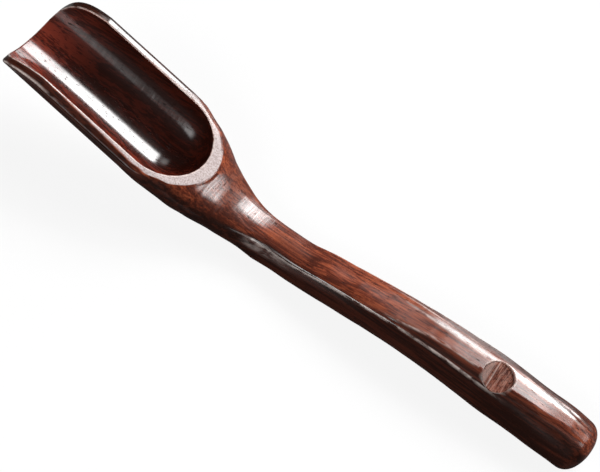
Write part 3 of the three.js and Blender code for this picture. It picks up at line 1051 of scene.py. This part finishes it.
# The ridge edges of the belly rows get the same pale painted highlight, with some wear.
for row in under_rows[1:-1]:
    fade = 1 - smooth(body_points[row[0], 0], 136, 150)
    for ids in (row, row[::-1]):
        paint("worn_and_glint", ids, (0.75, 0.65, 0.35, 0.15), fade)
# Painted highlights: pale lines along the band's inner rounding, brightest on the near side, and
# the lip.
inner_glint = np.where(near_side, 1, 0.6 + 0.4 * smooth(outer_x, 20, 34))
paint("worn_and_glint", band_ids[1:], (0.8, 1.0, 0.6), inner_glint)
paint("worn_and_glint", lip_ids[1:], (0.8, 1.0, 0.6))
# Painted highlight: a pale patch under the near ridge of the neck, partly rubbed wear.
rub_and_sheen = between(bx, 74, 77, 82, 90) * (by < -3) * between(below, -4.2, -2.2, -1.2, -0.5)
at_least("worn_and_glint", 0.3 * rub_and_sheen * outside)
# Painted highlights: a pale line down the hollow's near upper edge, and one along the band's outer
# edge near the lip.
paint("worn_and_glint", channel_ids.T, (1.0, 0.4), smooth(start_x, 4, 12))
near_lip = near_side * (1 - smooth(outer_x, 4, 24))
paint("worn_and_glint", band_ids[-4:], (0.3, 1.0, 0.3), near_lip)
paint("worn_and_glint", lip_ids[-4:], (0.3, 1.0, 0.3), 0.7)
# Painted highlight on the pocket's rounded rim, strongest on its far side, where it faces the
# light; the wall below is painted paler, as painted light.
rim_lit = 0.35 + 0.65 * smooth(np.sin(theta), -0.2, 0.7)
paint("worn_and_glint", loops[5:], (0.3, 0.6, 1.0, 0.9, 0.5), rim_lit)
masks["worn_and_glint"][loops[10:12]] = 0.4

# %% Tool marks, and all masks onto the mesh
on_top = np.isin(np.arange(total), join(neck_ids.ravel(), over_rows.ravel()))
tooled = on_top * between(bx, 55, 59, 76, 88) * (1 - smooth(np.abs(by), 5, 8))
tooled *= 1 - smooth(bx, 65, 69) * smooth(-by, 1.5, 3.5)
tooled += under_ridge * (1 - smooth(bx, 82, 90))
far_streak = hill(around, 140, 9) * (0.5 + 0.5 * smooth(bx, 24, 32)) * (1 - smooth(bx, 43, 47))
masks["tooled"] = tooled + inside * far_streak * (bz < -0.5)
for name in masks:
    masks[name] = np.clip(masks[name], 0, 1)
    write_mask(body, name, masks[name])
    print("%-8s covers %4.1f%% of the points" % (name, 100 * (masks[name] > 0.3).mean()))

# %% [markdown]
# ## The hand of the carver
#
# No knife leaves a ruler straight surface. A few long, shallow waves of a few hundredths of a
# millimetre, made from seeded sines, bend the reflections the way hand work does. The flat band
# of the rim is left true. Last, the belly and the heel are sanded flat where they meet the table.

# %% Waves and sanded rests
random = np.random.default_rng(7)


def waves(p, long_wave, round_wave, count):
    """A sum of sines over points p, about -1 to 1."""
    value = np.zeros(len(p))
    for _ in range(count):
        along_it = random.uniform(0.6, 1.5) / long_wave
        k = np.array([along_it, *(random.uniform(-1.3, 1.3, 2) / round_wave)])
        value += np.sin(2 * math.pi * (p @ k) + random.uniform(0, 2 * math.pi))
    return value / math.sqrt(count)


LONG_PUSH, GRIP_PUSH, SHORT_PUSH, HOLLOW_PUSH = 0.045, 0.015, 0.007, 0.022  # millimetres
settle = smooth(np.abs(bx - KNOT_AT), 5.5, 9) * (1 - smooth(bx, 160, 171))
free = (1 - masks["scraped"]) * (1 - masks["hollow"]) * settle * (bx > 44)
long_push = LONG_PUSH - (LONG_PUSH - GRIP_PUSH) * smooth(bx, 115, 128)
push = free * long_push * waves(body_points, 14, 30, 6)
push += free * SHORT_PUSH * waves(body_points, 3.2, 14, 6)
push += masks["hollow"] * smooth(-bz, 0.4, 2.5) * HOLLOW_PUSH * waves(body_points, 16, 26, 6)
wavy = table(body_points) + normals * push[:, None] / 1000
low = wavy[:, 2] < 0  # under the table
wavy[low, 2] = 0
body.data.vertices.foreach_set("co", wavy.ravel())
body.data.update()
print("sanded points at the rests:", int(low.sum()), "lowest", float(wavy[:, 2].min()))

# %% [markdown]
# ## The inlay
#
# The oval is end grain, pared with a knife and left rough: its face is level with the wood on the
# bowl's side and dips towards the end of the grip and towards the near side. The cuts run across
# the scoop, one of them stands up as a sharp step. It is a disc of rings and spokes, with the
# cuts in its heights. A pale line on the raised cut is a painted highlight, and the part before
# it is lighter.

# %% Inlay mesh
FACE_AT, FACE_SLOPE, FACE_ROLL = -0.15, math.tan(math.radians(6)), math.tan(math.radians(4))
GLUE, PLUG_FOOT = 0.03, 0.2 - POCKET_DEPTH
SPOKES, RINGS, LAST_RING = 132, 42, 0.985
CUT_SKEW, STEP_AT = 0.07, -1.4  # the cuts run a little askew, one of them stands up here


def cut_face(px, py):
    """Height of the pared face over the inlay's plane."""
    skew = px + CUT_SKEW * py
    height = FACE_AT - FACE_SLOPE * (px + KNOT_LONG) + FACE_ROLL * py
    height += 0.035 * np.sin(skew * 8.3 + 0.7 * np.sin(py * 0.9))
    height += 0.022 * np.sin(skew * 15.1 + py * 0.5 + 1.3)
    height += 0.018 * np.sin(skew * 27.0 + 2.1 * np.sin(py * 1.7))
    height += 0.05 * np.sin(py * 1.1 + px * 0.4)
    return height + 0.11 * hill(skew, STEP_AT, 0.16) - 0.10 * smooth(skew, STEP_AT, STEP_AT + 0.55)


spin = np.linspace(0, 2 * math.pi, SPOKES, endpoint=False)
edge_x, edge_y = (KNOT_LONG - GLUE) * np.cos(spin), (KNOT_WIDE - GLUE) * np.sin(spin)
plug_points = []


def plug_ring(out, heights):
    """Points at this share of the way from the middle to the edge."""
    plug_points.extend(knot_point(out * x, out * y, h) for x, y, h in zip(edge_x, edge_y, heights))


for out in np.linspace(0.02, LAST_RING, RINGS):
    plug_ring(out, cut_face(out * edge_x, out * edge_y))
for out, sink in ((0.997, 0.01), (1.0, 0.04), (1.0, 0.6)):
    plug_ring(out, cut_face(out * LAST_RING * edge_x, out * LAST_RING * edge_y) - sink)
plug_ring(1.0, np.full(SPOKES, PLUG_FOOT))
plug_points = np.array(plug_points)
ids = np.arange(len(plug_points)).reshape(-1, SPOKES)
next_ids = np.roll(ids, -1, axis=1)
plug_faces = np.stack([ids[:-1], next_ids[:-1], next_ids[1:], ids[1:]], -1).reshape(-1, 4).tolist()
plug_faces += [ids[0].tolist(), ids[-1].tolist()]
inlay = mesh_object("end_grain_inlay", plug_points, plug_faces)

from_middle = plug_points - KNOT_ORIGIN
skew = from_middle @ KNOT_X + CUT_SKEW * from_middle[:, 1]
# Painted highlight along the raised cut, and lighter wood before it.
rub_and_sheen = 0.32 * (1 - smooth(skew, STEP_AT - 1.3, STEP_AT - 0.4)) + 0.6 * hill(skew, STEP_AT, 0.15)
write_mask(inlay, "worn_and_glint", rub_and_sheen)

# %% [markdown]
# ## Rosewood
#
# Rosewood is dark red brown, with long darker bands, fine fibres and short black pores that all
# run along the billet. Noise that is squeezed across the grain and stretched along it gives all
# three. They sit in one node group, because the inlay shows the same wood from its end: there the
# stretch simply points into the surface.


# %% Tools for node groups
def shader_group(name, inputs, outputs):
    """A node group with named sockets: itself, its inputs as values and its output node."""
    group = bpy.data.node_groups.new(name, "ShaderNodeTree")
    for label, default in inputs.items():
        kind = "NodeSocketVector" if isinstance(default, tuple) else "NodeSocketFloat"
        socket = group.interface.new_socket(name=label, in_out="INPUT", socket_type=kind)
        socket.default_value = default
    for label in outputs:
        group.interface.new_socket(name=label, in_out="OUTPUT", socket_type="NodeSocketFloat")
    given = outputs_of(group.nodes.new("NodeGroupInput"))
    return group, given, group.nodes.new("NodeGroupOutput")


def use(tree, group, **values):
    """Places a group; argument names use _ for the spaces in its sockets' names."""
    made = tree.nodes.new("ShaderNodeGroup")
    made.node_tree = group
    for label, value in values.items():
        connect(value, made.inputs[label.replace("_", " ")])
    return outputs_of(made)


def noise(tree, stretch, detail, rough, distort=0.0, scale=1.0):
    """Noise over object coordinates, squeezed or stretched along each axis."""
    place_on = outputs_of(node(tree, "ShaderNodeTexCoord"))["Object"]
    where = node(tree, "ShaderNodeVectorMath", {0: place_on, 1: stretch}, operation="MULTIPLY")
    return Value(node(tree, "ShaderNodeTexNoise", {
        "Vector": Value(where.outputs[0]), "Scale": scale, "Detail": detail, "Roughness": rough,
        "Distortion": distort,
    }).outputs["Fac"])


def wooden(tree, relief, height, inputs):
    """Ends a material of wood; height is how far a relief of 1 stands up, in metres."""
    bump = node(tree, "ShaderNodeBump", {"Height": relief, "Strength": 1.0, "Distance": height})
    inputs["Normal"] = Value(bump.outputs[0])
    surface(tree, node(tree, "ShaderNodeBsdfPrincipled", inputs))


def mixed(factor, first, second):
    """A blend of two colours."""
    inputs = {0: factor, 6: first, 7: second}
    return Value(node(factor.tree, "ShaderNodeMix", inputs, data_type="RGBA").outputs[2])


# %% Rosewood figure
figure_group, given, result = shader_group(
    "rosewood_figure",
    {"Band stretch": (13.0, 250.0, 250.0), "Fibre stretch": (75.0, 1700.0, 1700.0),
     "Pore stretch": (520.0, 2600.0, 2600.0), "Pore amount": 0.5},
    ["Figure", "Pores", "Height"],
)
bands = ranged(noise(figure_group, given["Band stretch"], 4.0, 0.6, 1.2), 0.34, 0.68)
fibres = ranged(noise(figure_group, given["Fibre stretch"], 5.0, 0.65, 0.4), 0.3, 0.7)
pore_noise = noise(figure_group, given["Pore stretch"], 1.0, 0.4)
threshold = 0.78 - 0.2 * given["Pore amount"]
pores = ((pore_noise - threshold) * 14.0).clamped()
connect(ranged(0.42 * bands + 0.58 * fibres, 0.06, 0.94), result.inputs["Figure"])
connect(pores, result.inputs["Pores"])
connect(0.35 * fibres - pores, result.inputs["Height"])
print("group:", figure_group.name)

# %% [markdown]
# ## Tool scratches, worn edges and painted highlights
#
# A scraper drawn across the neck leaves fine lines at right angles to the grain. They catch light
# in some places and break the shine in others. The pale marks along the edges are partly wear,
# where fingers rub them, and partly painted highlights; a noise breaks the painted mask up, so
# they are never even. The scratches serve the inlay too.

# %% Scratches, wear and painted highlights
scratch_group, given, result = shader_group(
    "cross_scratches", {"Stretch": (1900.0, 120.0, 120.0), "Sharpness": 6.0}, ["Lines", "Height"],
)
line_noise = noise(scratch_group, given["Stretch"], 3.0, 0.65, 0.6)
lines = ((line_noise - 0.47) * given["Sharpness"]).clamped()
connect(lines, result.inputs["Lines"])
connect(line_noise, result.inputs["Height"])

wear_glint_group, given, result = shader_group(
    "edge_wear_and_glint", {"Mask": 0.0, "Breakup": 900.0, "Strength": 1.0}, ["Wear"],
)
patches = noise(wear_glint_group, (0.35, 1.0, 1.0), 3.0, 0.6, scale=given["Breakup"])
wear_glint = given["Mask"] * ranged(patches, 0.3, 0.62)
connect(wear_glint * given["Strength"], result.inputs["Wear"])
print("groups:", scratch_group.name, wear_glint_group.name)

# %% [markdown]
# ## The finish of the body
#
# Colour first: three browns blended by the figure, darker heartwood with painted shade down the
# sides and underneath, a nearly black set for the hollow with red painted light where its near wall
# faces the key, pale painted highlights along the edges, partly wear, and a dusty grey pink for the
# scraped rim. The shine is a clear coat whose weight follows the masks: strong in the hollow and on
# top, weak down the sides, none on the scraped rim. Pores and scratches break it, which is what
# makes the highlights look like wood.


# %% Body material: colour
def painted(tree, name):
    return outputs_of(node(tree, "ShaderNodeAttribute", attribute_name=name))["Fac"]


wood, tree = fresh_material("rosewood_polished")
hollow, scraped, dull, worn_and_glint, tooled, red_glow, heart_and_shade = (painted(tree, name) for name in masks)
grain = use(tree, figure_group, Pore_amount=0.62)
scratches = use(tree, scratch_group)
wear_glint = use(tree, wear_glint_group, Mask=worn_and_glint, Strength=0.9)["Wear"]
figure, pores, lines = grain["Figure"], grain["Pores"], scratches["Lines"]

ramp = node(tree, "ShaderNodeValToRGB", {"Fac": figure})
stops = ramp.color_ramp.elements
stops[0].position, stops[0].color = 0.15, (0.060, 0.012, 0.006, 1)
stops[1].position, stops[1].color = 0.95, (0.235, 0.057, 0.024, 1)
stops.new(0.55).color = (0.140, 0.029, 0.013, 1)

heart_shade_colour = mixed(ranged(figure, 0.2, 0.85), (0.011, 0.0028, 0.0016, 1), (0.032, 0.007, 0.0035, 1))
# Much darker colours for the hollow.
hollow_dark = mixed(ranged(figure, 0.35, 0.85), (0.011, 0.0019, 0.0009, 1), (0.028, 0.0043, 0.002, 1))
red = mixed(ranged(figure, 0.2, 0.75), (0.060, 0.0080, 0.0040, 1), (0.200, 0.030, 0.016, 1))
speckle = noise(tree, (2600.0, 2600.0, 2600.0), 2.0, 0.6)
dusty = mixed(ranged(speckle, 0.32, 0.66), (0.25, 0.198, 0.19, 1), (0.42, 0.362, 0.354, 1))

# Heartwood tone with painted shade, down the sides and underneath.
colour = mixed(heart_and_shade, Value(ramp.outputs["Color"]), heart_shade_colour)
# The hollow is much darker, with red painted light on its near wall.
colour = mixed(hollow, colour, mixed(0.85 * red_glow, hollow_dark, red))
colour = mixed(scraped, colour, dusty)
colour = mixed(0.05 * lines * tooled * (1 - 0.8 * hollow), colour, (0.30, 0.215, 0.20, 1))
colour = mixed(pores * (0.8 - 0.6 * scraped), colour, (0.008, 0.0025, 0.0018, 1))
# Pale colour for the painted highlights along the edges, with some wear.
colour = mixed(0.8 * wear_glint, colour, (0.62, 0.53, 0.49, 1))

# %% Body material: shine and relief
smudge = noise(tree, (110.0, 260.0, 260.0), 4.0, 0.65)
rough = 0.30 + 0.2 * dull + 0.22 * scraped + 0.2 * pores + ranged(smudge, 0.3, 0.7, -0.06, 0.08)
coat = (1 - scraped).clamped() * (1 - dull) * (1 - 0.75 * pores)
coat = coat * (1 - (1 - lines) * tooled * (0.45 + 0.35 * hollow))
coat = coat * ranged(smudge, 0.28, 0.6, 0.72, 1.0)
relief = 0.5 * grain["Height"] + 1.6 * scratches["Height"] * tooled + 1.4 * speckle * scraped
wooden(tree, relief, 0.000035, {
    "Base Color": colour, "Roughness": rough, "Specular IOR Level": 0.06,
    "Coat Weight": coat, "Coat IOR": 1.6, "Coat Roughness": 0.11,
})
body.data.materials.append(wood)
print(wood.name, "has", len(tree.nodes), "nodes")

# %% [markdown]
# ## The finish of the inlay
#
# Cut end grain drinks no polish: it stays matt, greyer than the wood round it, with knife lines
# across and dark open pores. The same groups serve, with the pores round instead of long.

# %% Inlay material
grain_end, tree = fresh_material("rosewood_end_grain")
grain = use(
    tree, figure_group, Band_stretch=(420.0, 300.0, 300.0), Fibre_stretch=(1500.0, 1500.0, 1500.0),
    Pore_stretch=(2300.0, 2300.0, 2300.0), Pore_amount=0.8,
)
scratches = use(tree, scratch_group, Stretch=(2600.0, 200.0, 200.0), Sharpness=7.0)
colour = mixed(grain["Figure"], (0.034, 0.0075, 0.0045, 1), (0.125, 0.036, 0.021, 1))
colour = mixed(0.35 * scratches["Lines"], colour, (0.34, 0.19, 0.15, 1))
colour = mixed(0.85 * grain["Pores"], colour, (0.022, 0.008, 0.006, 1))
# Pale colour of the painted highlight on the raised cut and the lighter wood before it.
colour = mixed(painted(tree, "worn_and_glint"), colour, (0.33, 0.25, 0.225, 1))
relief = scratches["Height"] + 0.6 * grain["Height"]
wooden(tree, relief, 0.00006, {
    "Base Color": colour, "Roughness": 0.5 + 0.3 * grain["Pores"], "Specular IOR Level": 0.05,
})
inlay.data.materials.append(grain_end)
print(grain_end.name, "has", len(tree.nodes), "nodes")

# %% Ride and replace
for piece, cad_node, slot in ((body, "scoop_body", "rosewood"), (inlay, "knot_plug", "end_grain")):
    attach(piece, "root")
    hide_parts(cad_node)
